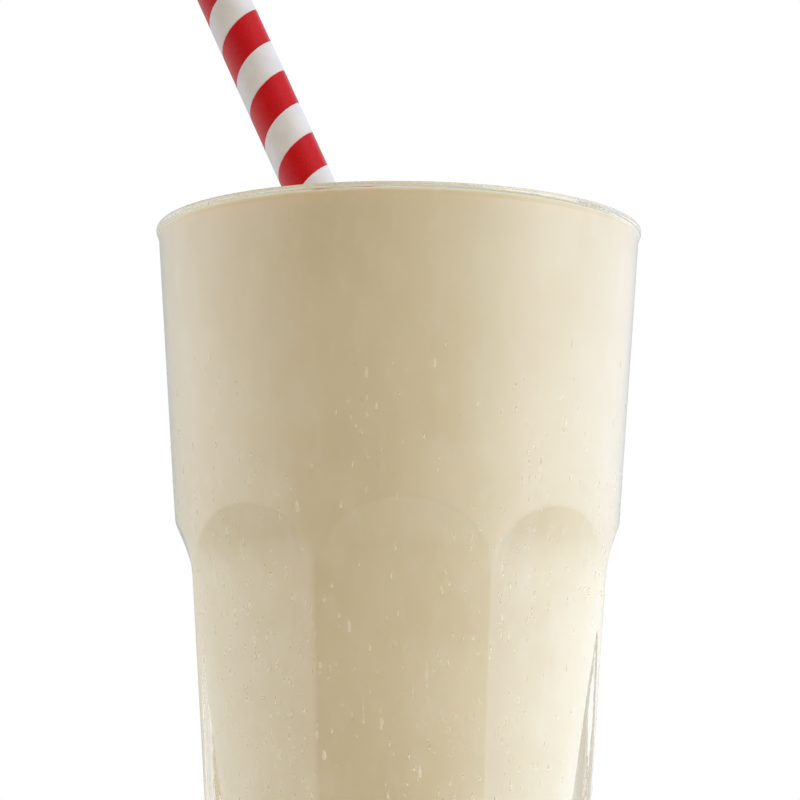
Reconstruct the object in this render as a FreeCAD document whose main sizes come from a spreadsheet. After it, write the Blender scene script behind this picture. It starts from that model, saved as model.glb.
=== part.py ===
import FreeCAD, Part
import os
import Sketcher
from FreeCAD import Vector

# A tall pressed tumbler, filled nearly to the brim with a banana milkshake, with a wide paper
# straw that leans on the back of the rim. Millimetres and degrees, +Z up. The origin is at the
# middle of the foot, on the table; -Y is the front and +X is to the right.

doc = FreeCAD.newDocument("bananaMilkshake")

# ---- driving dimensions ----

drivingSizes = {
    # glass, outside
    "glassHeight": 160,
    "rimRadius": 44.45,
    "footRadius": 32.7,         # the outer cone carried down to the table
    "lipProud": 0.35,           # the rounded lip stands this far out of the outer cone
    "lipThickness": 2.55,
    "lipEdge": 0.5,             # rounding of the lip's outer edge
    "lipShoulder": 0.3,         # upright stretch under the lip's outer edge
    "beadRun": 1.4,             # height over which the lip fades into the cone
    "beadRounding": 1,
    "heelRounding": 3,
    # glass, inside and underneath
    "baseThickness": 12,
    "floorWall": 10.75,         # from the outer cone to the inside, at the floor
    "floorRounding": 6,
    "bendHeight": 50,           # the inside opens out a little more above this height
    "bendWall": 12.3,           # from the outer cone to the inside, at the bend
    "recessDepth": 2.5,
    "recessRun": 5,             # width of the recess's sloping side
    "recessRounding": 4,
    "ringWidth": 3.6,           # flat ring that the glass stands on, at a panel's middle
    # pressed panels
    "panelCount": 8,
    "panelTurn": 1.7,           # turn of the front panel to the right
    "collarHeight": 54.2,       # plain collar, from the rim down to the arches' tops
    "panelHollow": 0.35,        # how far a panel's middle lies behind its two edges
    "ridgeWidth": 1.2,          # land left between two panels
    "panelHeelRounding": 2.4,
    "runoutAngle": 30,          # the cut's way out at the top, from the vertical
    "runoutRounding": 24,
    "overrun": 3,               # how far a cut reaches past the glass
    # drink
    "fillDrop": 4.5,            # level below the rim
    "fillGap": 0.02,            # between the drink and what it touches
    # straw
    "strawRadius": 5,
    "strawWall": 0.6,
    "strawLength": 186,
    "strawDip": 76.5,           # its lower end below the rim
    "strawGap": 0.3,            # between the straw and the two places that it leans on
    "strawRimAngle": 106.45,    # where it leans on the rim, about Z from +X
    "strawFootAngle": 19.36,    # where its lower end leans on the wall, about Z from +X
}

sheet = doc.addObject("Spreadsheet::Sheet", "sizes")
for row, (alias, value) in enumerate(drivingSizes.items(), start=1):
    sheet.set(f"A{row}", alias)
    sheet.set(f"B{row}", str(value))
    sheet.setAlias(f"B{row}", alias)
doc.recompute()

# ---- what follows from them ----

derived = doc.addObject("App::VarSet", "fits")


def derive(kind, name, formula):
    derived.addProperty(f"App::Property{kind}", name, "Fits")
    derived.setExpression(name, formula)


def coneRadius(height):
    return f"(sizes.footRadius + fits.coneSlope * ({height}))"


def innerRadius(height):
    # the inside opens out more above the bend, so the wider of its two slopes holds
    return (f"max(fits.floorRadius + fits.lowerSlope * (({height}) - sizes.baseThickness);"
            f" fits.bendRadius + fits.upperSlope * (({height}) - sizes.bendHeight))")


derive("Float", "coneSlope",
       "(sizes.rimRadius - sizes.lipProud - sizes.footRadius) / sizes.glassHeight")
derive("Float", "mouthRadius", "sizes.rimRadius - sizes.lipThickness")
derive("Float", "lipRounding", "0.47 * sizes.lipThickness")
derive("Float", "beadHeight", "sizes.glassHeight - sizes.lipEdge - sizes.lipShoulder")
derive("Float", "bendRadius", coneRadius("sizes.bendHeight") + " - sizes.bendWall")
derive("Float", "floorRadius", coneRadius("sizes.baseThickness") + " - sizes.floorWall")
derive("Float", "upperSlope",
       "(fits.mouthRadius - fits.bendRadius) / (sizes.glassHeight - sizes.bendHeight)")
derive("Float", "lowerSlope",
       "(fits.bendRadius - fits.floorRadius) / (sizes.bendHeight - sizes.baseThickness)")
derive("Float", "fillLevel", "sizes.glassHeight - sizes.fillDrop")

# panels: the ridges between them lie on the outer cone
derive("Float", "archHeight", "sizes.glassHeight - sizes.collarHeight")
derive("Float", "archRadius", coneRadius("fits.archHeight"))
derive("Angle", "panelHalfAngle",
       "180 deg / sizes.panelCount - atan(0.5 * sizes.ridgeWidth / fits.archRadius)")
derive("Float", "panelShare", "cos(fits.panelHalfAngle)")
derive("Float", "panelFootRadius", "sizes.footRadius * fits.panelShare - sizes.panelHollow")
derive("Float", "panelSlope", "fits.coneSlope * fits.panelShare")
derive("Float", "panelArchRadius", "fits.panelFootRadius + fits.panelSlope * fits.archHeight")
derive("Float", "runoutDrop",
       "(fits.archRadius - fits.panelArchRadius) / (tan(sizes.runoutAngle) - fits.panelSlope)")
derive("Float", "runoutHeight", "fits.archHeight - fits.runoutDrop")
derive("Float", "halfChord", "fits.archRadius * sin(fits.panelHalfAngle)")
derive("Float", "hollowRadius", "fits.halfChord ^ 2 / (2 * sizes.panelHollow)")
derive("Angle", "sweepAngle", "2 * asin((fits.halfChord + 2 * sizes.overrun) / fits.hollowRadius)")
derive("Float", "ringInnerRadius",
       "fits.panelFootRadius - sizes.panelHeelRounding - sizes.ringWidth")

# straw: it leans on the rim, and its lower end leans on the wall
derive("Float", "strawFootHeight", "sizes.glassHeight - sizes.strawDip")
derive("Float", "strawFootReach",
       innerRadius("fits.strawFootHeight") + " - sizes.strawRadius - sizes.strawGap")
derive("Float", "strawFootX", "fits.strawFootReach * cos(sizes.strawFootAngle)")
derive("Float", "strawFootY", "fits.strawFootReach * sin(sizes.strawFootAngle)")


def leanTo(reachAtRim):
    # run along X and Y from the lower end to where the straw passes the rim, and the lean
    runX = f"({reachAtRim} * cos(sizes.strawRimAngle) - fits.strawFootX)"
    runY = f"({reachAtRim} * sin(sizes.strawRimAngle) - fits.strawFootY)"
    return runX, runY, f"atan(sqrt({runX} ^ 2 + {runY} ^ 2) / sizes.strawDip)"


derive("Float", "roughReach", "fits.mouthRadius - sizes.strawRadius")
derive("Angle", "roughLean", leanTo("fits.roughReach")[2])
derive("Float", "strawRimReach",
       "fits.mouthRadius - sizes.strawRadius / cos(fits.roughLean) - sizes.strawGap")
strawRunX, strawRunY, strawLean = leanTo("fits.strawRimReach")
derive("Float", "strawRunX", strawRunX)
derive("Float", "strawRunY", strawRunY)
derive("Angle", "strawLean", strawLean)
doc.recompute()

alongStraw = ("placement(vector(fits.strawFootX; fits.strawFootY; fits.strawFootHeight);"
              " rotation(vector(-fits.strawRunY; fits.strawRunX; 0); fits.strawLean))")

# ---- helpers ----

startPoint, endPoint, centrePoint = 1, 2, 3
sketchOrigin = (-1, 1)
levelAxis, uprightAxis = -1, -2


def addBody(label):
    body = doc.addObject("PartDesign::Body", label)
    body.Label = label
    return body


def addSketch(body, name, role):
    sketch = body.newObject("Sketcher::SketchObject", name)
    plane = next(feature for feature in body.Origin.OriginFeatures if feature.Role == role)
    sketch.AttachmentSupport = [(plane, "")]
    sketch.MapMode = "FlatFace"
    return sketch


def bind(sketch, kind, elements, name, formula):
    value = float(sketch.evalExpression(formula))
    index = sketch.addConstraint(Sketcher.Constraint(kind, *elements, value))
    sketch.renameConstraint(index, name)
    sketch.setExpression("Constraints." + name, formula)


def addOutline(sketch, corners):
    # a closed outline; each corner is a name, its x and y, and its rounding or None
    points = [Vector(sketch.evalExpression(x), sketch.evalExpression(y), 0)
              for _, x, y, _ in corners]
    count = len(corners)
    for line in range(count):
        sketch.addGeometry(Part.LineSegment(points[line], points[(line + 1) % count]), False)
    for line in range(count):
        following = (line + 1) % count
        sketch.addConstraint(Sketcher.Constraint("Coincident", line, endPoint, following, startPoint))
    for line, (name, x, y, _) in enumerate(corners):
        corner = (line, startPoint)
        if x == "0":
            sketch.addConstraint(Sketcher.Constraint("PointOnObject", *corner, uprightAxis))
        else:
            bind(sketch, "DistanceX", (*sketchOrigin, *corner), name + "X", x)
        bind(sketch, "DistanceY", (*sketchOrigin, *corner), name + "Y", y)
    for line, (name, _, _, rounding) in enumerate(corners):
        if rounding:
            roundCorner(sketch, line, name, rounding)


def roundCorner(sketch, line, name, rounding):
    trimLines, keepCorner = 1, True
    sketch.fillet(line, startPoint, float(sketch.evalExpression(rounding)), trimLines, keepCorner)
    arc = max(i for i, shape in enumerate(sketch.Geometry) if isinstance(shape, Part.ArcOfCircle))
    bind(sketch, "Radius", (arc,), name + "Rounding", rounding)


def addCircle(sketch, name, radius):
    shape = Part.Circle(Vector(0, 0, 0), Vector(0, 0, 1), float(sketch.evalExpression(radius)))
    circle = sketch.addGeometry(shape, False)
    sketch.addConstraint(Sketcher.Constraint("Coincident", circle, centrePoint, *sketchOrigin))
    bind(sketch, "Radius", (circle,), name, radius)


def revolveOutline(body, name, corners):
    sketch = addSketch(body, name + "Outline", "XZ_Plane")
    addOutline(sketch, corners)
    turned = body.newObject("PartDesign::Revolution", name)
    turned.Profile = sketch
    turned.ReferenceAxis = (sketch, ["V_Axis"])
    turned.Angle = 360
    sketch.Visibility = False
    return turned


def checkCut(before, after):
    doc.recompute()
    if after.Shape.Volume > before.Shape.Volume - 1:
        raise RuntimeError(f"{after.Name} cuts nothing")


# ---- glass ----


def makeGlass():
    body = addBody("glass")
    tumbler = revolveOutline(body, "tumbler", [
        ("recessMiddle", "0", "sizes.recessDepth", None),
        ("recessEdge", "fits.ringInnerRadius - sizes.recessRun", "sizes.recessDepth",
         "sizes.recessRounding"),
        ("ringInner", "fits.ringInnerRadius", "0", None),
        ("heel", "sizes.footRadius", "0", "sizes.heelRounding"),
        ("beadFoot", coneRadius("fits.beadHeight - sizes.beadRun"),
         "fits.beadHeight - sizes.beadRun", "sizes.beadRounding"),
        ("bead", "sizes.rimRadius", "fits.beadHeight", "sizes.beadRounding"),
        ("rimOuter", "sizes.rimRadius", "sizes.glassHeight", "sizes.lipEdge"),
        ("rimInner", "fits.mouthRadius", "sizes.glassHeight", "fits.lipRounding"),
        ("bend", "fits.bendRadius", "sizes.bendHeight", None),
        ("floor", "fits.floorRadius", "sizes.baseThickness", "sizes.floorRounding"),
        ("floorMiddle", "0", "sizes.baseThickness", None),
    ])
    cutPanels(body, tumbler)
    body.setExpression("Placement.Rotation.Angle", "sizes.panelTurn - 90")
    return body


def cutPanels(body, tumbler):
    # One cut takes a slightly hollow panel off the side. Its outline runs from the heel up to
    # the way out under the collar, and turns about a far-off upright line before the panel.
    sketch = addSketch(body, "panelOutline", "XZ_Plane")
    inside = "fits.panelFootRadius - 2 * sizes.panelHeelRounding"
    outside = "sizes.rimRadius + sizes.overrun"
    above = "fits.archHeight + sizes.overrun"
    addOutline(sketch, [
        ("heelInside", inside, "0", None),
        ("panelHeel", "fits.panelFootRadius", "0", "sizes.panelHeelRounding"),
        ("runout", "fits.panelFootRadius + fits.panelSlope * fits.runoutHeight",
         "fits.runoutHeight", "sizes.runoutRounding"),
        ("wayOut", "fits.archRadius + sizes.overrun * tan(sizes.runoutAngle)", above, None),
        ("outsideTop", outside, above, None),
        ("outsideFoot", outside, "-sizes.overrun", None),
        ("insideFoot", inside, "-sizes.overrun", None),
    ])
    farLine = "fits.panelArchRadius + fits.hollowRadius"
    foot = Vector(sketch.evalExpression(farLine), 0, 0)
    head = foot + Vector(0, sketch.evalExpression("fits.archHeight"), 0)
    axis = sketch.addGeometry(Part.LineSegment(foot, head), True)
    sketch.addConstraint(Sketcher.Constraint("Vertical", axis))
    sketch.addConstraint(Sketcher.Constraint("PointOnObject", axis, startPoint, levelAxis))
    bind(sketch, "DistanceY", (axis, startPoint, axis, endPoint), "axisLength", "fits.archHeight")
    bind(sketch, "DistanceX", (*sketchOrigin, axis, startPoint), "farLine", farLine)
    doc.recompute()

    panel = body.newObject("PartDesign::Groove", "panel")
    panel.Profile = sketch
    panel.ReferenceAxis = (sketch, ["Axis0"])
    panel.Midplane = True
    panel.setExpression("Angle", "fits.sweepAngle")
    sketch.Visibility = False
    checkCut(tumbler, panel)

    ring = body.newObject("PartDesign::PolarPattern", "panelRing")
    ring.Originals = [panel]
    ring.Axis = (sketch, ["V_Axis"])
    ring.Angle = 360
    ring.setExpression("Occurrences", "sizes.panelCount")
    body.Tip = ring
    checkCut(panel, ring)


# ---- straw ----


def addRing(sketch, gap):
    addCircle(sketch, "outer", f"sizes.strawRadius + {gap}")
    addCircle(sketch, "inner", f"sizes.strawRadius - sizes.strawWall - {gap}")


def makeStraw():
    body = addBody("straw")
    sketch = addSketch(body, "strawRing", "XY_Plane")
    addRing(sketch, "0")
    tube = body.newObject("PartDesign::Pad", "tube")
    tube.Profile = sketch
    tube.setExpression("Length", "sizes.strawLength")
    sketch.Visibility = False
    body.setExpression("Placement", alongStraw)
    return body


# ---- drink ----


def makeMilkshake():
    # fills the glass up to its level, around the straw and inside it
    body = addBody("milkshake")
    floorHeight = "sizes.baseThickness + sizes.fillGap"
    fill = revolveOutline(body, "fill", [
        ("floorMiddle", "0", floorHeight, None),
        ("floor", "fits.floorRadius - sizes.fillGap", floorHeight,
         "sizes.floorRounding - sizes.fillGap"),
        ("bend", "fits.bendRadius - sizes.fillGap", "sizes.bendHeight", None),
        ("level", innerRadius("fits.fillLevel") + " - sizes.fillGap", "fits.fillLevel", None),
        ("levelMiddle", "0", "fits.fillLevel", None),
    ])
    sketch = addSketch(body, "strawRoom", "XY_Plane")
    sketch.setExpression("AttachmentOffset", alongStraw)
    addRing(sketch, "sizes.fillGap")
    doc.recompute()
    room = body.newObject("PartDesign::Pocket", "roomForStraw")
    room.Profile = sketch
    room.Reversed = True
    room.setExpression("Length", "sizes.strawLength")
    sketch.Visibility = False
    checkCut(fill, room)
    return body


subParts = [makeGlass(), makeStraw(), makeMilkshake()]
doc.recompute()

# ---- checks and files ----

for item in doc.Objects:
    if "Invalid" in item.State or "Error" in item.State:
        raise RuntimeError(f"{item.Name} failed: {item.State}")
for body in subParts:
    if body.Shape.isNull() or not body.Shape.isValid():
        raise RuntimeError(f"{body.Label} has no valid shape")

os.makedirs("parts", exist_ok=True)
for body in subParts:
    body.Shape.exportStep(f"parts/{body.Label}.step")
    box = body.Shape.optimalBoundingBox()
    print(f"{body.Label}: {len(body.Shape.Solids)} solid, {body.Shape.Volume / 1000:.2f} cm3,"
          f" z {box.ZMin:.2f} to {box.ZMax:.2f}")
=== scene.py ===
import math

import bpy
import numpy as np
from mathutils import Matrix, Vector, noise


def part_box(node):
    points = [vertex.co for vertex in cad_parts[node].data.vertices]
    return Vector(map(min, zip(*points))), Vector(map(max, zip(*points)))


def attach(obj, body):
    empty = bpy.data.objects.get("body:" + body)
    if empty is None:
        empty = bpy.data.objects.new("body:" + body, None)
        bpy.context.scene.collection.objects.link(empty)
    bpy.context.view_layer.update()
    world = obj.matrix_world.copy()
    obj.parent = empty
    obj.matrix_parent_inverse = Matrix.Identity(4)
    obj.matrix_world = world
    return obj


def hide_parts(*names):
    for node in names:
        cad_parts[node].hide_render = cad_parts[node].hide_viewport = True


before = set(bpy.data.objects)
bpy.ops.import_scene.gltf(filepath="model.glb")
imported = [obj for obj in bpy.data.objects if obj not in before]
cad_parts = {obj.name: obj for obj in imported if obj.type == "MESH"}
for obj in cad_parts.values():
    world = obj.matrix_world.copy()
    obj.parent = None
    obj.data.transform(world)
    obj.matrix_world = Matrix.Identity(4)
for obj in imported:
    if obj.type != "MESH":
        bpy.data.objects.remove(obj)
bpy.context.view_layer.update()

# A tall pressed tumbler of banana milkshake with a striped paper straw.
# Lengths are millimetres until a mesh is made. +Z is up and -Y is the front.

mm = 0.001
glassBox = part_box("glass")
glassHeight = glassBox[1].z / mm
rimRadius = (glassBox[1].x - glassBox[0].x) / 2 / mm
hubRadius = 0.6                # the innermost ring of a round piece, closed by a fan
seed = 11                      # the same drops and bubbles on every run
chance = np.random.default_rng(seed)


def softMin(first, second, width):
    # the smaller of two, with the corner between them rounded
    blend = np.maximum(width - np.abs(first - second), 0) / width
    return np.minimum(first, second) - blend * blend * width / 4


def easeOver(value, start, end):
    # 0 below start, 1 above end
    share = np.clip((value - start) / (end - start), 0, 1)
    return share * share * (3 - 2 * share)


def roundedOutline(corners, arcSteps):
    # corners are (radius, height, rounding); each rounding becomes a tangent arc
    points = []
    for index, (radius, height, rounding) in enumerate(corners):
        corner = Vector((radius, height))
        if not rounding:
            points.append(corner)
            continue
        before = (Vector(corners[index - 1][:2]) - corner).normalized()
        after = (Vector(corners[index + 1][:2]) - corner).normalized()
        half = before.angle(after) / 2
        middle = corner + (before + after).normalized() * rounding / math.sin(half)
        start = corner + before * rounding / math.tan(half) - middle
        end = corner + after * rounding / math.tan(half) - middle
        turn = math.atan2(start.x * end.y - start.y * end.x, start.dot(end))
        for step in range(arcSteps + 1):
            points.append(middle + Matrix.Rotation(turn * step / arcSteps, 2) @ start)
    return points


def divided(points, start, end, step):
    # the stretch of an outline between two heights gets a point every step
    tiny = 0.001
    dense = [points[0]]
    for last, point in zip(points, points[1:]):
        rise = point.y - last.y
        cuts = [(level - last.y) / rise for level in (start, end) if rise]
        stops = sorted([0, 1] + [cut for cut in cuts if tiny < cut < 1 - tiny])
        for low, high in zip(stops, stops[1:]):
            inside = start < last.y + rise * (low + high) / 2 < end
            pieces = math.ceil(abs(rise) * (high - low) / step - tiny) if inside else 1
            shares = np.linspace(low, high, max(pieces, 1) + 1)[1:]
            dense += [last.lerp(point, share) for share in shares]
    return dense


def makePiece(name, corners, faces, finishes, faceFinish=None):
    mesh = bpy.data.meshes.new(name)
    mesh.from_pydata([tuple(corner) for corner in np.asarray(corners) * mm], [], faces)
    for finish in finishes:
        mesh.materials.append(finish)
    if faceFinish is not None:
        mesh.polygons.foreach_set("material_index", faceFinish)
    mesh.polygons.foreach_set("use_smooth", [True] * len(mesh.polygons))
    mesh.update()
    piece = bpy.data.objects.new(name, mesh)
    bpy.context.collection.objects.link(piece)
    return piece


def ringFaces(rings, columns, first=0):
    # quads between closed rings of points, each ring after the one before
    faces = []
    for ring in range(rings - 1):
        low = first + ring * columns
        for column in range(columns):
            beside = (column + 1) % columns
            faces.append((low + column, low + beside, low + columns + beside, low + columns + column))
    return faces


def fanFaces(centre, first, columns, flip):
    # triangles from a ring of points to one point at its middle
    faces = []
    for column in range(columns):
        pair = (first + column, first + (column + 1) % columns)
        faces.append((centre, *(pair[::-1] if flip else pair)))
    return faces


class Signal:
    # one output of a finish's nodes, so that masks and sums read as plain sums
    def __init__(self, finish, socket):
        self.finish = finish
        self.socket = socket

    def maths(self, operation, *others):
        return self.finish.add("Math", {"operation": operation}, dict(enumerate((self, *others))))

    def __add__(self, other):
        return self.maths("ADD", other)

    def __radd__(self, other):
        return self.maths("ADD", other)

    def __sub__(self, other):
        return self.maths("SUBTRACT", other)

    def __rsub__(self, other):
        return self.finish.add("Math", {"operation": "SUBTRACT"}, {0: other, 1: self})

    def __mul__(self, other):
        return self.maths("MULTIPLY", other)

    def __rmul__(self, other):
        return self.maths("MULTIPLY", other)

    def eased(self, start, end):
        # 0 below start, 1 above end
        return self.finish.add(
            "MapRange", {"interpolation_type": "SMOOTHSTEP"}, {"Value": self, 1: start, 2: end})

    def part(self, name):
        return Signal(self.finish, self.socket.node.outputs[name])


class Finish:
    # the nodes of one material, or of the surround
    def __init__(self, name, library=None):
        self.owner = (bpy.data.materials if library is None else library).new(name)
        self.owner.use_nodes = True
        self.tree = self.owner.node_tree
        self.tree.nodes.clear()

    def add(self, kind, settings=None, sockets=None, output=0):
        node = self.tree.nodes.new("ShaderNode" + kind)
        for name, value in (settings or {}).items():
            setattr(node, name, value)
        for name, value in (sockets or {}).items():
            if isinstance(value, Signal):
                self.tree.links.new(value.socket, node.inputs[name])
            else:
                node.inputs[name].default_value = value
        return Signal(self, node.outputs[output]) if node.outputs else None

    def place(self):
        # millimetres in the part's frame
        here = self.add("TexCoord").part("Object")
        return self.add("VectorMath", {"operation": "SCALE"}, {0: here, "Scale": 1 / mm})

    def grain(self, place, size, detail, stretch=(1, 1, 1)):
        # noise from 0 to 1 whose features measure about size
        scaled = self.add("VectorMath", {"operation": "MULTIPLY"}, {0: place, 1: stretch})
        return self.add("TexNoise", {}, {"Vector": scaled, "Scale": 1 / size, "Detail": detail})

    def blend(self, factor, first, second):
        return self.add("Mix", {"data_type": "RGBA"}, {0: factor, 6: first, 7: second}, 2)

    def bump(self, height, depth, under=None):
        sockets = {"Height": height, "Distance": depth * mm}
        if under is not None:
            sockets["Normal"] = under
        return self.add("Bump", {}, sockets)

    def finish(self, shader, kind="OutputMaterial"):
        self.add(kind, {}, {"Surface": shader})
        return self.owner


tumbler = {
    "footRadius": 32.7,
    "lipProud": 0.35,
    "lipThickness": 2.55,
    "lipRounding": 0.47,       # as a share of the lip's thickness
    "lipEdge": 0.5,
    "lipShoulder": 0.3,
    "beadRun": 1.4,
    "beadRounding": 1.0,
    "heelRounding": 3.0,
    "baseThickness": 12.0,
    "floorWall": 10.75,
    "floorRounding": 6.0,
    "bendHeight": 50.0,
    "bendWall": 12.3,
    "recessDepth": 2.5,
    "recessRun": 5.0,
    "recessRounding": 4.0,
    "ringWidth": 3.6,
    "ringMargin": 0.5,         # the panels are cut from this far outside the standing ring's inner edge
    "panelCount": 8,
    "panelTurn": 1.7,
    "collarHeight": 54.2,
    "panelHollow": 0.35,
    "ridgeWidth": 1.2,
    "panelHeelRounding": 2.4,
    "runoutAngle": 30.0,
    "runoutRounding": 24.0,
    "runoutSteps": 24,
    "edgeSoftness": 0.35,      # how gently panels meet ridges and collar
    "columnsPerPanel": 72,
    "columnCrowding": 0.35,    # columns stand closer at the ridges
    "cornerSteps": 8,
    "archStep": 0.36,          # between rings round the arches
    "archFoot": 92.0,
    "archMargin": 1.5,
    "wallStep": 4.0,
    "wallFoot": 2.0,
    "tint": (0.975, 0.985, 0.98, 1),
    "straightTint": (0.96, 0.97, 0.965, 1),    # for light that passes straight through
    "roughness": 0.015,
    "wipedRoughness": 0.035,   # more of it where the glass was wiped
    "wipeSize": 9.0,
    "rippleSize": 16.0,
    "rippleDepth": 0.35,
    "grainSize": 3.2,
    "grainShare": 0.06,        # of the ripple's depth
    "ior": 1.5,
}

coneSlope = (rimRadius - tumbler["lipProud"] - tumbler["footRadius"]) / glassHeight
mouthRadius = rimRadius - tumbler["lipThickness"]
lipRounding = tumbler["lipRounding"] * tumbler["lipThickness"]
beadHeight = glassHeight - tumbler["lipEdge"] - tumbler["lipShoulder"]
archHeight = glassHeight - tumbler["collarHeight"]
archTop = archHeight + tumbler["archMargin"]


def coneRadius(height):
    return tumbler["footRadius"] + coneSlope * height


bendRadius = coneRadius(tumbler["bendHeight"]) - tumbler["bendWall"]
floorRadius = coneRadius(tumbler["baseThickness"]) - tumbler["floorWall"]


def innerRadius(height):
    return np.interp(height, (tumbler["baseThickness"], tumbler["bendHeight"], glassHeight),
                     (floorRadius, bendRadius, mouthRadius))


def wallInside(height):
    # the inside of the wall, and above it the inner half of the lip's rounding
    rise = np.maximum(height - (glassHeight - lipRounding), 0)
    return innerRadius(height) + lipRounding - np.sqrt(lipRounding ** 2 - rise ** 2)


panelAngle = 2 * math.pi / tumbler["panelCount"]
archRadius = coneRadius(archHeight)
panelHalfAngle = panelAngle / 2 - math.atan(tumbler["ridgeWidth"] / 2 / archRadius)
panelShare = math.cos(panelHalfAngle)
panelFootRadius = tumbler["footRadius"] * panelShare - tumbler["panelHollow"]
panelSlope = coneSlope * panelShare
panelArchRadius = panelFootRadius + panelSlope * archHeight
runoutSlope = math.tan(math.radians(tumbler["runoutAngle"]))
runoutHeight = archHeight - (archRadius - panelArchRadius) / (runoutSlope - panelSlope)
hollowRadius = (archRadius * math.sin(panelHalfAngle)) ** 2 / (2 * tumbler["panelHollow"])
ringInnerRadius = panelFootRadius - tumbler["panelHeelRounding"] - tumbler["ringWidth"]
firstPanel = math.radians(tumbler["panelTurn"]) - math.pi / 2


def panelOutline():
    # along the middle of a panel, from under the heel to past the arch
    inside = panelFootRadius - 2 * tumbler["panelHeelRounding"]
    above = 2 * (glassHeight - archHeight)
    corners = [
        (inside, 0, 0),
        (panelFootRadius, 0, tumbler["panelHeelRounding"]),
        (panelFootRadius + panelSlope * runoutHeight, runoutHeight, tumbler["runoutRounding"]),
        (archRadius + above * runoutSlope, archHeight + above, 0),
    ]
    return np.array([tuple(point) for point in roundedOutline(corners, tumbler["runoutSteps"])])


panelLine = panelOutline()


def panelRadius(angle, height):
    # the panels are hollow about upright lines that stand far out
    angle = np.mod(angle - firstPanel + panelAngle / 2, panelAngle) - panelAngle / 2
    farLine = panelArchRadius + hollowRadius
    reach = farLine - np.interp(height, panelLine[:, 1], panelLine[:, 0])
    return farLine * np.cos(angle) - np.sqrt(reach ** 2 - (farLine * np.sin(angle)) ** 2)


def outerRadius(angle, height, plain=None):
    plain = coneRadius(height) if plain is None else plain
    return softMin(plain, panelRadius(angle, height), tumbler["edgeSoftness"])


def columnAngles():
    count = tumbler["columnsPerPanel"]
    share = np.arange(count) / count * 2 - 1
    crowded = share + tumbler["columnCrowding"] * np.sin(math.pi * share) / math.pi
    panels = np.arange(tumbler["panelCount"])[:, None] * panelAngle
    return (panels + firstPanel + crowded * panelAngle / 2).ravel()


def tumblerOutline():
    # from the middle of the recess, round the foot, up and over the lip, down to the floor
    size = tumbler
    beadFoot = beadHeight - size["beadRun"]
    outside = roundedOutline([
        (hubRadius, size["recessDepth"], 0),
        (ringInnerRadius - size["recessRun"], size["recessDepth"], size["recessRounding"]),
        (ringInnerRadius, 0, 0),
        (size["footRadius"], 0, size["heelRounding"]),
        (coneRadius(beadFoot), beadFoot, size["beadRounding"]),
        (rimRadius, beadHeight, size["beadRounding"]),
        (rimRadius, glassHeight, size["lipEdge"]),
        (mouthRadius, glassHeight, lipRounding),
        (bendRadius, size["bendHeight"], 0),
        (floorRadius, size["baseThickness"], size["floorRounding"]),
        (hubRadius, size["baseThickness"], 0),
    ], size["cornerSteps"])
    top = max(range(len(outside)), key=lambda index: outside[index].y)
    rising = divided(outside[:top + 1], size["archFoot"], archTop, size["archStep"])
    rising = divided(rising, size["wallFoot"], glassHeight, size["wallStep"])
    falling = divided(outside[top:], size["wallFoot"], glassHeight, size["wallStep"] * 2)
    return rising, falling[1:]


def makeTumbler(finish):
    rising, falling = tumblerOutline()
    angles = columnAngles()
    columns = len(angles)
    panelStart = ringInnerRadius + tumbler["ringMargin"]
    rings = []
    for index, point in enumerate(rising + falling):
        cut = index < len(rising) and point.x > panelStart and point.y < archTop
        radius = outerRadius(angles, point.y, point.x) if cut else np.full(columns, point.x)
        rings.append(np.column_stack((radius * np.cos(angles), radius * np.sin(angles),
                                      np.full(columns, point.y))))
    corners = np.concatenate(rings)
    faces = ringFaces(len(rings), columns)
    middles = [(0, 0, tumbler["recessDepth"]), (0, 0, tumbler["baseThickness"])]
    faces += fanFaces(len(corners), 0, columns, True)
    faces += fanFaces(len(corners) + 1, len(corners) - columns, columns, False)
    piece = makePiece("tumbler", np.concatenate((corners, middles)), faces, [finish])
    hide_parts("glass")
    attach(piece, "root")


def clearShader(finish, shader):
    # light from the lamps, and light on its way to the drink, passes straight through
    path = finish.add("LightPath")
    clear = finish.add("BsdfTransparent", {}, {"Color": tumbler["straightTint"]})
    soft = finish.add("MixShader", {}, {0: path.part("Is Diffuse Ray"), 1: shader, 2: clear})
    return finish.add("MixShader", {}, {0: path.part("Is Shadow Ray"), 1: soft, 2: clear})


def glassFinish():
    finish = Finish("clearPressedGlass")
    look = tumbler
    place = finish.place()
    ripple = finish.grain(place, look["rippleSize"], 1.0, (1, 1, 0.55))
    grain = finish.grain(place, look["grainSize"], 2.0)
    wipes = finish.grain(place, look["wipeSize"], 4.0, (1, 1, 0.3)).eased(0.5, 0.8)
    glass = finish.add("BsdfPrincipled", {}, {
        "Base Color": look["tint"],
        "Roughness": wipes * look["wipedRoughness"] + look["roughness"],
        "IOR": look["ior"],
        "Transmission Weight": 1.0,
        "Normal": finish.bump(ripple + grain * look["grainShare"], look["rippleDepth"]),
    })
    return finish.finish(clearShader(finish, glass))


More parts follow.
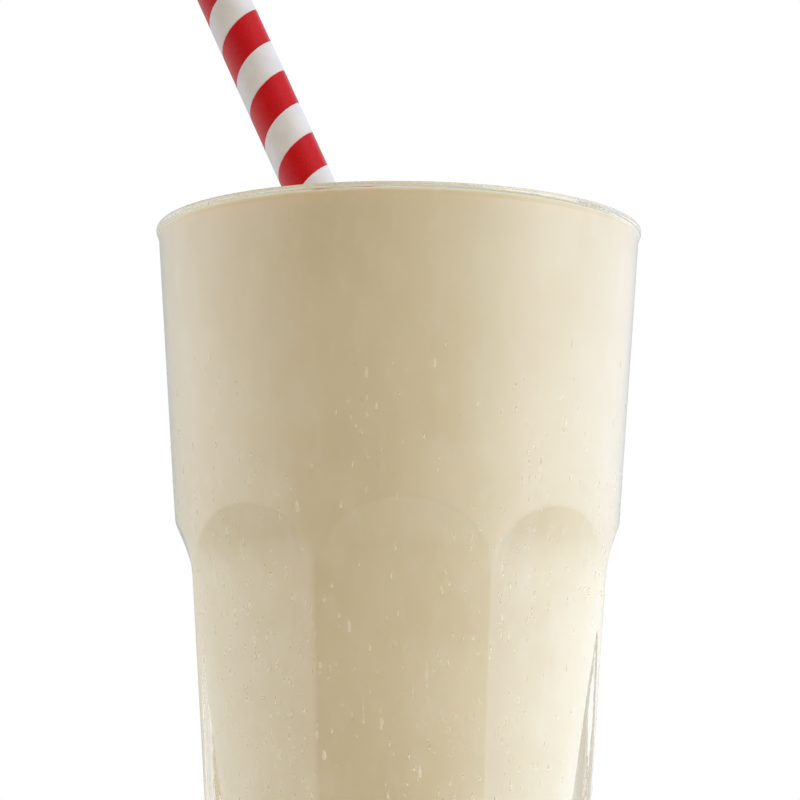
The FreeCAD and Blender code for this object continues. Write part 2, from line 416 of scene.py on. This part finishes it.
milkshake = {
    "fillDrop": 4.5,           # level below the rim
    "intoWall": 0.08,          # reaches this far into the glass
    "climb": 3.95,             # the drink clings to the wall this far above its level
    "climbRun": 0.8,
    "strawClimb": 0.9,
    "strawClimbRun": 0.9,
    "swell": 0.22,             # slow unevenness of the surface
    "swellFade": (1.0, 9.0),   # it dies away towards the wall
    "waves": ((0.11, 0.6), (0.13, -0.9), (0.23, -0.19)),
    "columns": 240,
    "topRings": 64,
    "topCrowding": 1.6,        # those rings stand closer at the wall
    "lipRings": 5,
    "cornerSteps": 8,
    "wallStep": 6.0,
    "deep": (0.76, 0.66, 0.504, 1),
    "pale": (0.79, 0.70, 0.558, 1),
    "cloudSize": 22.0,
    "streak": (0.82, 0.75, 0.648, 1),
    "streakSize": 9.0,
    "streakShare": 0.35,
    "mist": (0.83, 0.765, 0.67, 1),
    "mistSize": 3.0,
    "mistShare": 0.3,
    "fruit": (0.60, 0.47, 0.30, 1),
    "fruitSize": 0.9,
    "fruitShare": 0.25,
    "poreSize": 0.5,
    "poreDepth": 0.05,
    "roughness": 0.2,
    "streakRoughness": 0.08,
    "ior": 1.36,
    "scatterDepth": 0.8,
    "scatterColours": (1.0, 0.88, 0.72),
}

fillLevel = glassHeight - milkshake["fillDrop"]
fillRadius = innerRadius(fillLevel)


def surfaceHeight(x, y):
    # the drink's surface over a place in the glass
    size = milkshake
    wall = fillRadius - np.hypot(x, y)
    beside = np.maximum(strawDistance(x, y), 0)
    height = fillLevel + size["climb"] * np.exp(-np.maximum(wall, 0) / size["climbRun"])
    height = height + size["strawClimb"] * np.exp(-beside / size["strawClimbRun"])
    (turnX, startX), (turnY, startY), (crossX, crossY) = size["waves"]
    slow = np.sin(x * turnX + startX) * np.cos(y * turnY + startY)
    slow = slow + np.sin(x * crossX + y * crossY) / 2
    return height + size["swell"] * slow * easeOver(wall, *size["swellFade"])


def makeMilkshake(wallFinish, topFinish):
    size = milkshake
    into = size["intoWall"]
    bottom = tumbler["baseThickness"]
    edge = fillLevel + size["climb"]
    lipFoot = glassHeight - lipRounding
    lipHeights = np.linspace(lipFoot, edge, size["lipRings"])
    outline = roundedOutline([
        (hubRadius, bottom - into, 0),
        (floorRadius + into, bottom - into, tumbler["floorRounding"]),
        (bendRadius + into, tumbler["bendHeight"], 0),
        *[(wallInside(height) + into, height, 0) for height in lipHeights],
    ], size["cornerSteps"])
    outline = divided(outline, bottom, edge, size["wallStep"])
    columns = size["columns"]
    angles = np.linspace(0, 2 * math.pi, columns, endpoint=False)
    unit = np.column_stack((np.cos(angles), np.sin(angles)))
    rings = [np.column_stack((unit * point.x, np.full(columns, point.y))) for point in outline]
    wallFaces = (len(rings) - 1) * columns
    for share in np.linspace(0, 1, size["topRings"])[1:-1]:
        reach = fillRadius * (1 - share ** size["topCrowding"])
        x, y = (unit * reach).T
        rings.append(np.column_stack((x, y, surfaceHeight(x, y))))
    corners = np.concatenate(rings)
    faces = ringFaces(len(rings), columns)
    faceFinish = [int(index >= wallFaces) for index in range(len(faces))]
    middles = [(0, 0, bottom - into), (0, 0, float(surfaceHeight(0.0, 0.0)))]
    faces += fanFaces(len(corners), 0, columns, True)
    faces += fanFaces(len(corners) + 1, len(corners) - columns, columns, False)
    faceFinish += [0] * columns + [1] * columns
    piece = makePiece("milkshakeFill", np.concatenate((corners, middles)), faces,
                      [wallFinish, topFinish], faceFinish)
    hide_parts("milkshake")
    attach(piece, "root")


def milkshakeFinish(name, wet):
    # wet where the air reaches it, and without gloss of its own against the glass
    finish = Finish(name)
    look = milkshake
    place = finish.place()
    cloud = finish.grain(place, look["cloudSize"], 2.0).eased(0.3, 0.7)
    streak = finish.grain(place, look["streakSize"], 3.0, (1, 1, 0.4))
    mist = finish.grain(place, look["mistSize"], 3.0, (1, 1, 0.45)).eased(0.48, 0.72)
    fruit = finish.grain(place, look["fruitSize"], 2.0).eased(0.70, 0.78)
    colour = finish.blend(cloud, look["deep"], look["pale"])
    colour = finish.blend(streak.eased(0.45, 0.75) * look["streakShare"], colour, look["streak"])
    colour = finish.blend(mist * look["mistShare"], colour, look["mist"])
    colour = finish.blend(fruit * look["fruitShare"], colour, look["fruit"])
    sockets = {
        "Base Color": colour,
        "Roughness": streak * look["streakRoughness"] + look["roughness"],
        "IOR": look["ior"],
        "Specular IOR Level": 0.5 if wet else 0.0,
        "Subsurface Weight": 1.0,
        "Subsurface Radius": look["scatterColours"],
        "Subsurface Scale": look["scatterDepth"] * mm,
    }
    if wet:
        sockets["Normal"] = finish.bump(finish.grain(place, look["poreSize"], 2.0), look["poreDepth"])
    return finish.finish(finish.add("BsdfPrincipled", {}, sockets))


straw = {
    "radius": 5.0,
    "wall": 0.6,
    "length": 186.0,
    "foot": (22.761, 7.998, 83.5),
    "direction": (-0.37677, 0.30215, 0.87564),
    "edgeRounding": 0.4,       # as a share of the wall
    "edgeSteps": 3,
    "columns": 96,
    "rowStep": 2.0,
    "pitch": 15.52,            # along the straw, for one turn of the stripe
    "stripeStart": 0.82,       # share of a turn where red starts
    "redShare": 0.525,
    "stripeEdge": 0.006,
    "stripeWobble": 0.012,
    "white": (0.69, 0.67, 0.74, 1),
    "palestWhite": (0.74, 0.72, 0.79, 1),
    "ink": (0.50, 0.0015, 0.007, 1),
    "palestInk": (0.60, 0.004, 0.013, 1),
    "seam": (0.45, 0.30, 0.30, 1),
    "seamShare": 0.2,
    "seamPlace": 0.01,         # past the stripe's second edge
    "seamEdge": (0.003, 0.01),
    "seamDepth": 0.05,
    "fibreSize": 0.45,
    "blotchSize": 3.0,
    "paperDepth": 0.06,
    "fibreShare": 0.5,         # of the paper's depth
    "blotchShare": 0.3,
    "roughness": 0.32,
    "inkSmoothness": 0.06,     # taken off the roughness
    "ior": 1.45,
    "gloss": 0.2,
}

towardsFront = Vector((0, -1, 0))
strawFoot = Vector(straw["foot"])
strawAlong = Vector(straw["direction"]).normalized()
strawFront = (towardsFront - strawAlong * strawAlong.dot(towardsFront)).normalized()
strawSide = strawAlong.cross(strawFront)


def strawDistance(x, y):
    # from a place on the drink's level to the straw's wall
    foot, along = np.array(strawFoot), np.array(strawAlong)
    place = np.stack((x, y, np.full_like(x, fillLevel)), -1) - foot
    beside = place - (place @ along)[..., None] * along
    return np.abs(np.linalg.norm(beside, axis=-1) - straw["radius"])


def windPaper(mesh, outline, columns):
    # the map runs once round the straw, and along it in turns of the stripe
    mapped = mesh.uv_layers.new(name="woundPaper").data
    for polygon in mesh.polygons:
        places = [divmod(mesh.loops[loop].vertex_index, columns) for loop in polygon.loop_indices]
        onSeam = {0, columns - 1} <= {column for _, column in places}
        for loop, (ring, column) in zip(polygon.loop_indices, places):
            turn = 1.0 if onSeam and column == 0 else column / columns
            mapped[loop].uv = (turn, outline[ring].y / straw["pitch"])


def makeStraw(finish):
    size = straw
    rounding = size["wall"] * size["edgeRounding"]
    inner = size["radius"] - size["wall"]
    outline = roundedOutline([
        (size["radius"], size["length"] / 2, 0),
        (size["radius"], 0, rounding),
        (inner, 0, rounding),
        (inner, size["length"], rounding),
        (size["radius"], size["length"], rounding),
        (size["radius"], size["length"] / 2, 0),
    ], size["edgeSteps"])
    outline = divided(outline, 0, size["length"], size["rowStep"])
    columns = size["columns"]
    angles = np.linspace(0, 2 * math.pi, columns, endpoint=False)
    foot, front, side, along = (
        np.array(axis) for axis in (strawFoot, strawFront, strawSide, strawAlong))
    around = np.outer(np.cos(angles), front) + np.outer(np.sin(angles), side)
    rings = [foot + around * point.x + along * point.y for point in outline]
    faces = [face[::-1] for face in ringFaces(len(rings), columns)]
    piece = makePiece("paperStraw", np.concatenate(rings), faces, [finish])
    windPaper(piece.data, outline, columns)
    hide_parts("straw")
    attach(piece, "root")


def strawFinish():
    finish = Finish("stripedPaper")
    look = straw
    place = finish.place()
    wound = finish.add("UVMap", {"uv_map": "woundPaper"})
    axes = finish.add("SeparateXYZ", {}, {0: wound})
    fibre = finish.grain(place, look["fibreSize"], 4.0)
    blotch = finish.grain(place, look["blotchSize"], 3.0)
    wobble = (fibre - 0.5) * look["stripeWobble"]
    phase = (axes.part("Y") - axes.part("X") + (1 - look["stripeStart"]) + wobble).maths("FRACT")
    share = look["redShare"]
    edge = look["stripeEdge"]
    red = phase.eased(0, edge) * (1 - phase.eased(share, share + edge))
    seam = 1 - (phase - share - look["seamPlace"]).maths("ABSOLUTE").eased(*look["seamEdge"])
    white = finish.blend(blotch.eased(0.3, 0.7), look["white"], look["palestWhite"])
    ink = finish.blend(fibre.eased(0.35, 0.75), look["ink"], look["palestInk"])
    colour = finish.blend(red, white, ink)
    colour = finish.blend(seam * look["seamShare"], colour, look["seam"])
    relief = fibre * look["fibreShare"] + blotch * look["blotchShare"]
    paperNormal = finish.bump(relief, look["paperDepth"])
    paper = finish.add("BsdfPrincipled", {}, {
        "Base Color": colour,
        "Roughness": look["roughness"] - red * look["inkSmoothness"],
        "IOR": look["ior"],
        "Specular IOR Level": look["gloss"],
        "Normal": finish.bump(1 - seam, look["seamDepth"], paperNormal),
    })
    return finish.finish(paper)


condensation = {
    "lowest": 6.0,
    "highest": 136.0,
    "patchAcross": 2.2,        # how often wet patches come round the glass
    "patchHeight": 28.0,
    "wetness": 0.45,
    "patchiness": 0.8,
    "dryTop": (1.05, 0.35),    # drops thin out towards the top of their range
    "proud": 0.2,              # how far a drop stands out, as a share of its width
    # a mesh is columns, rings and how much fuller the lower end is
    "specks": {"count": 2100, "width": (0.22, 0.5), "stretch": (1.8, 5.0), "mesh": (6, 4, 0.1)},
    "drops": {"count": 210, "width": (0.45, 0.85), "stretch": (1.8, 3.8), "mesh": (14, 9, 0.25)},
    "runs": {"count": 60, "width": (0.3, 0.55), "length": (2.5, 7), "above": 25.0,
             "mesh": (8, 12, 0.15), "tail": (1.5, 2.6), "tailPlace": 0.45, "tailMesh": (12, 8, 0.3)},
    # painted highlight: the drops' cream-white colour makes them lighter specks on the drink, in place
    # of the light that clear water catches
    "tint": (0.96, 0.93, 0.85, 1),
    "rippleSize": 0.7,
    "rippleDepth": 0.02,
    "roughness": 0.3,
    "rippleRoughness": 0.1,
    "ior": 1.33,
    "gloss": 0.3,
    "clearest": 0.14,          # how solid the drops look, at least
    "patchSize": 14.0,
    "patchShare": 0.28,        # more of it in patches
}


def skinPlace(angle, height):
    # a place on the outside of the tumbler, with the ways sideways, up and out of it
    step = 0.02

    def skin(turn, level):
        reach = float(outerRadius(np.float64(turn), level))
        return Vector((reach * math.cos(turn), reach * math.sin(turn), level))

    here = skin(angle, height)
    radius = float(outerRadius(np.float64(angle), height))
    sideways = (skin(angle + step / radius, height) - here).normalized()
    upwards = (skin(angle, height + step) - here).normalized()
    return here, sideways, upwards, sideways.cross(upwards).normalized()


def addDrop(drops, spot, width, length, proud, columns, rings, heavy):
    # a flattened drop, half in the surface; heavy makes its lower end fuller
    corners, faces, relief = drops
    here, sideways, upwards, outwards = spot
    first = len(corners)
    proud = width * proud
    for ring in range(1, rings):
        tip = math.pi * ring / rings
        along = math.cos(tip)
        fullness = math.sin(tip) * (1 - heavy * along)
        for column in range(columns):
            turn = 2 * math.pi * column / columns
            corners.append(here + upwards * along * length / 2
                           + sideways * fullness * math.cos(turn) * width / 2
                           + outwards * fullness * math.sin(turn) * proud)
            relief.append(max(math.sin(tip) * math.sin(turn), 0))
    faces += ringFaces(rings - 1, columns, first)
    faces += fanFaces(len(corners), first, columns, False)
    faces += fanFaces(len(corners) + 1, len(corners) - columns, columns, True)
    corners.append(here + upwards * length / 2)
    corners.append(here - upwards * length / 2)
    relief += [0, 0]


def makeDrops(name, drops, finish):
    # relief says how far out of the surface a corner stands, from 0 to 1
    corners, faces, relief = drops
    piece = makePiece(name, corners, faces, [finish])
    piece.data.attributes.new("relief", "FLOAT", "POINT").data.foreach_set("value", relief)
    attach(piece, "root")


def dropSpot():
    # drops gather in patches, more of them lower down
    size = condensation
    across = size["patchAcross"]
    top, fade = size["dryTop"]
    while True:
        angle = chance.uniform(-math.pi, math.pi)
        share = chance.uniform(0, 1)
        height = size["lowest"] + (size["highest"] - size["lowest"]) * share
        patch = noise.noise(Vector((math.cos(angle) * across, math.sin(angle) * across,
                                    height / size["patchHeight"])))
        wet = (size["wetness"] + size["patchiness"] * patch) * float(easeOver(top - share, 0, fade))
        if chance.uniform(0, 1) < wet:
            return angle, height


def makeCondensation(finish):
    drops = [], [], []
    proud = condensation["proud"]
    for size in (condensation["specks"], condensation["drops"]):
        for _ in range(size["count"]):
            width = chance.uniform(*size["width"])
            length = width * chance.uniform(*size["stretch"])
            addDrop(drops, skinPlace(*dropSpot()), width, length, proud, *size["mesh"])
    size = condensation["runs"]
    for _ in range(size["count"]):
        angle, height = dropSpot()
        width = chance.uniform(*size["width"])
        length = chance.uniform(*size["length"])
        height = min(max(height, condensation["lowest"] + length), archHeight + size["above"])
        addDrop(drops, skinPlace(angle, height), width, length, proud, *size["mesh"])
        tail = skinPlace(angle, height - length * size["tailPlace"])
        wider, longer = size["tail"]
        addDrop(drops, tail, width * wider, width * longer, proud, *size["tailMesh"])
    makeDrops("condensation", drops, finish)


def waterFinish():
    # thin drops show mostly what lies behind them, and fade out where they sink into the glass; their
    # cream-white colour is a painted highlight that stands in for the light clear water catches and
    # bends
    finish = Finish("waterDrops")
    look = condensation
    place = finish.place()
    ripple = finish.grain(place, look["rippleSize"], 1.0)
    patch = finish.grain(place, look["patchSize"], 2.0).eased(0.3, 0.7)
    relief = finish.add("Attribute", {"attribute_name": "relief"}, {}, "Fac")
    water = finish.add("BsdfPrincipled", {}, {
        # painted highlight: a cream-white colour, lighter than the drink, in place of the light clear
        # drops catch
        "Base Color": look["tint"],
        "Roughness": ripple * look["rippleRoughness"] + look["roughness"],
        "IOR": look["ior"],
        "Specular IOR Level": look["gloss"],
        "Alpha": relief.eased(0, 0.7) * (patch * look["patchShare"] + look["clearest"]),
        "Normal": finish.bump(ripple, look["rippleDepth"]),
    })
    return finish.finish(water)


bubbles = {
    "count": 260,
    "smallest": 0.25,
    "largest": 1.9,
    "rareness": 4,             # a higher power makes large ones rarer
    "fromWall": 2.5,
    "spread": 0.85,            # share of the radius that they come in from the wall
    "crowding": 2.2,           # a higher power keeps more of them at the wall
    "clusterSize": 9.0,
    "clusterShare": -0.05,     # none where the clusters' noise is below this
    "overlap": 0.47,
    "proud": 0.4,              # how far a bubble stands out, as a share of its width
    "mesh": (16, 9, 0.0),
    "milky": (0.84, 0.76, 0.62, 1),
    "palest": (0.92, 0.87, 0.76, 1),
    "swirlSize": 0.6,
    "swirlDepth": 0.01,
    "roughness": 0.08,
    "swirlRoughness": 0.06,
    "ior": 1.36,
    "clearest": 0.4,
    "swirlShare": 0.3,
}


def makeBubbles(finish):
    # small bubbles lie on the drink, most of them near the wall
    size = bubbles
    drops = [], [], []
    placed = []
    axes = [Vector(axis) for axis in ((1, 0, 0), (0, 1, 0), (0, 0, 1))]
    while len(placed) < size["count"]:
        growth = chance.uniform() ** size["rareness"]
        width = size["smallest"] + (size["largest"] - size["smallest"]) * growth
        inwards = size["spread"] * chance.uniform() ** size["crowding"]
        reach = (fillRadius - size["fromWall"]) * (1 - inwards)
        angle = chance.uniform(-math.pi, math.pi)
        x, y = np.float64(reach * math.cos(angle)), np.float64(reach * math.sin(angle))
        cluster = noise.noise(Vector((x, y, 0)) / size["clusterSize"])
        clear = all(math.hypot(x - u, y - v) > (width + w) * size["overlap"] for u, v, w in placed)
        if not clear or cluster < size["clusterShare"] or strawDistance(x, y) < width:
            continue
        placed.append((x, y, width))
        here = Vector((x, y, float(surfaceHeight(x, y))))
        addDrop(drops, (here, *axes), width, width, size["proud"], *size["mesh"])
    makeDrops("bubbles", drops, finish)


def bubbleFinish():
    finish = Finish("milkyFilm")
    look = bubbles
    place = finish.place()
    swirl = finish.grain(place, look["swirlSize"], 2.0)
    relief = finish.add("Attribute", {"attribute_name": "relief"}, {}, "Fac")
    film = finish.add("BsdfPrincipled", {}, {
        "Base Color": finish.blend(swirl, look["milky"], look["palest"]),
        "Roughness": swirl * look["swirlRoughness"] + look["roughness"],
        "IOR": look["ior"],
        "Alpha": relief.eased(0, 0.5) * (swirl * look["swirlShare"] + look["clearest"]),
        "Normal": finish.bump(swirl, look["swirlDepth"]),
    })
    return finish.finish(film)


floor = {
    "radius": 420.0,
    "fade": (130.0, 400.0),    # the floor fades into the white surround
    "under": 0.05,             # below the foot, so that the two don't share a plane
    "columns": 64,
    "deep": (0.80, 0.80, 0.795, 1),
    "pale": (0.83, 0.83, 0.825, 1),
    "mottleSize": 40.0,
    "mottleDepth": 0.02,
    "roughness": 0.6,
}


def makeFloor():
    finish = Finish("paleFloor")
    place = finish.place()
    mottle = finish.grain(place, floor["mottleSize"], 4.0)
    reach = finish.add("VectorMath", {"operation": "LENGTH"}, {0: place}, "Value")
    surface = finish.add("BsdfPrincipled", {}, {
        "Base Color": finish.blend(mottle, floor["deep"], floor["pale"]),
        "Roughness": floor["roughness"],
        "Alpha": 1 - reach.eased(*floor["fade"]),
        "Normal": finish.bump(mottle, floor["mottleDepth"]),
    })
    columns = floor["columns"]
    angles = np.linspace(0, 2 * math.pi, columns, endpoint=False)
    rim = np.column_stack((np.cos(angles), np.sin(angles), np.zeros(columns)))
    corners = np.concatenate((rim * floor["radius"], [(0, 0, 0)]))
    corners[:, 2] = -floor["under"]
    piece = makePiece("floor", corners, fanFaces(columns, 0, columns, False),
                      [finish.finish(surface)])


studio = {
    "backdrop": 1.0,
    "throughGlass": (0.82, 0.81, 0.78, 1),
    "clearShare": 0.8,         # how much of the plain surround shows through clear glass
    "ambient": (0.02, 0.02, 0.02),
    # azimuth seen from above, from the front towards the right, elevation, tightness, light
    "lobes": [
        (0, 5, 8, (0.3, 0.19, 0.02)),
        (35, 5, 8, (0.64, 0.58, 0.37)),
        (70, 5, 8, (2.17, 2.3, 2.41)),
        (105, 5, 8, (1.24, 1.37, 1.61)),
        (140, 5, 8, (0.87, 0.91, 1.05)),
        (180, 5, 8, (0.25, 0.27, 0.28)),
        (-140, 5, 8, (0.62, 0.65, 0.67)),
        (-105, 5, 8, (1.45, 1.47, 1.53)),
        (-70, 5, 8, (1.01, 0.99, 0.9)),
        (-35, 5, 8, (0.12, 0.05, 0.0)),
        (0, 90, 3, (0.69, 0.73, 0.67)),
        (0, -90, 3, (0.36, 0.38, 0.37)),
        (60, 45, 8, (0.89, 0.93, 0.93)),
        (-60, 45, 8, (0.24, 0.22, 0.12)),
        (180, 45, 8, (0.24, 0.28, 0.29)),
        (0, 40, 8, (0.22, 0.15, 0.02)),
    ],
    "bounces": 40,             # light turns many times inside the thick glass
    "clearBounces": 24,
}


def makeSurround():
    # Soft lamps all round, as lobes of light. Seen directly, the surround is plain white.
    finish = Finish("surround", bpy.data.worlds)
    way = finish.add("TexCoord").part("Generated")
    light = studio["ambient"]
    for azimuth, elevation, tightness, colour in studio["lobes"]:
        turn, lift = math.radians(azimuth), math.radians(elevation)
        axis = (math.sin(turn) * math.cos(lift), -math.cos(turn) * math.cos(lift), math.sin(lift))
        facing = finish.add("VectorMath", {"operation": "DOT_PRODUCT"}, {0: way, 1: axis}, "Value")
        lobe = facing.maths("MAXIMUM", 0.0).maths("POWER", tightness)
        glow = finish.add("VectorMath", {"operation": "SCALE"}, {0: colour, "Scale": lobe})
        light = finish.add("VectorMath", {"operation": "ADD"}, {0: light, 1: glow})
    soft = finish.add("Background", {}, {"Color": light})
    plain = finish.add("Background", {}, {"Color": (1, 1, 1, 1), "Strength": studio["backdrop"]})
    through = finish.add("Background", {}, {"Color": studio["throughGlass"]})
    path = finish.add("LightPath")
    clear = path.part("Is Transmission Ray") * studio["clearShare"]
    unseen = finish.add("MixShader", {}, {0: clear, 1: soft, 2: through})
    both = finish.add("MixShader", {}, {0: path.part("Is Camera Ray"), 1: unseen, 2: plain})
    bpy.context.scene.world = finish.finish(both, "OutputWorld")


def setLight():
    scene = bpy.context.scene
    scene.view_settings.view_transform = "Standard"
    scene.cycles.use_denoising = True
    scene.cycles.max_bounces = studio["bounces"]
    scene.cycles.glossy_bounces = studio["bounces"]
    scene.cycles.transmission_bounces = studio["bounces"]
    scene.cycles.transparent_max_bounces = studio["clearBounces"]


view = {
    "sideways": 0.38,
    "distance": 662.0,
    "height": 25.3,
    "pitch": 0.155,            # radians upwards
    "roll": 0.005,
    "lens": 165.3,
    "sensor": 36,
    "nearest": 10.0,
}


def makeCamera():
    ahead = Vector((0, math.cos(view["pitch"]), math.sin(view["pitch"])))
    above = Vector((0, -math.sin(view["pitch"]), math.cos(view["pitch"])))
    right = Vector((1, 0, 0))
    rolledRight = right * math.cos(view["roll"]) + above * math.sin(view["roll"])
    rolledUp = above * math.cos(view["roll"]) - right * math.sin(view["roll"])
    lens = bpy.data.cameras.new("camera")
    lens.lens = view["lens"]
    lens.sensor_width = view["sensor"]
    lens.clip_start = view["nearest"] * mm
    camera = bpy.data.objects.new("camera", lens)
    place = Matrix((rolledRight, rolledUp, -ahead)).transposed().to_4x4()
    place.translation = Vector((view["sideways"], -view["distance"], view["height"])) * mm
    camera.matrix_world = place
    bpy.context.collection.objects.link(camera)
    bpy.context.scene.camera = camera


makeTumbler(glassFinish())
print("tumbler made")
makeMilkshake(milkshakeFinish("milkshakeAgainstGlass", False),
              milkshakeFinish("milkshakeSurface", True))
print("milkshake made")
makeStraw(strawFinish())
print("straw made")
makeCondensation(waterFinish())
makeBubbles(bubbleFinish())
print("drops and bubbles made")
makeFloor()
makeSurround()
setLight()
makeCamera()
print("studio made")
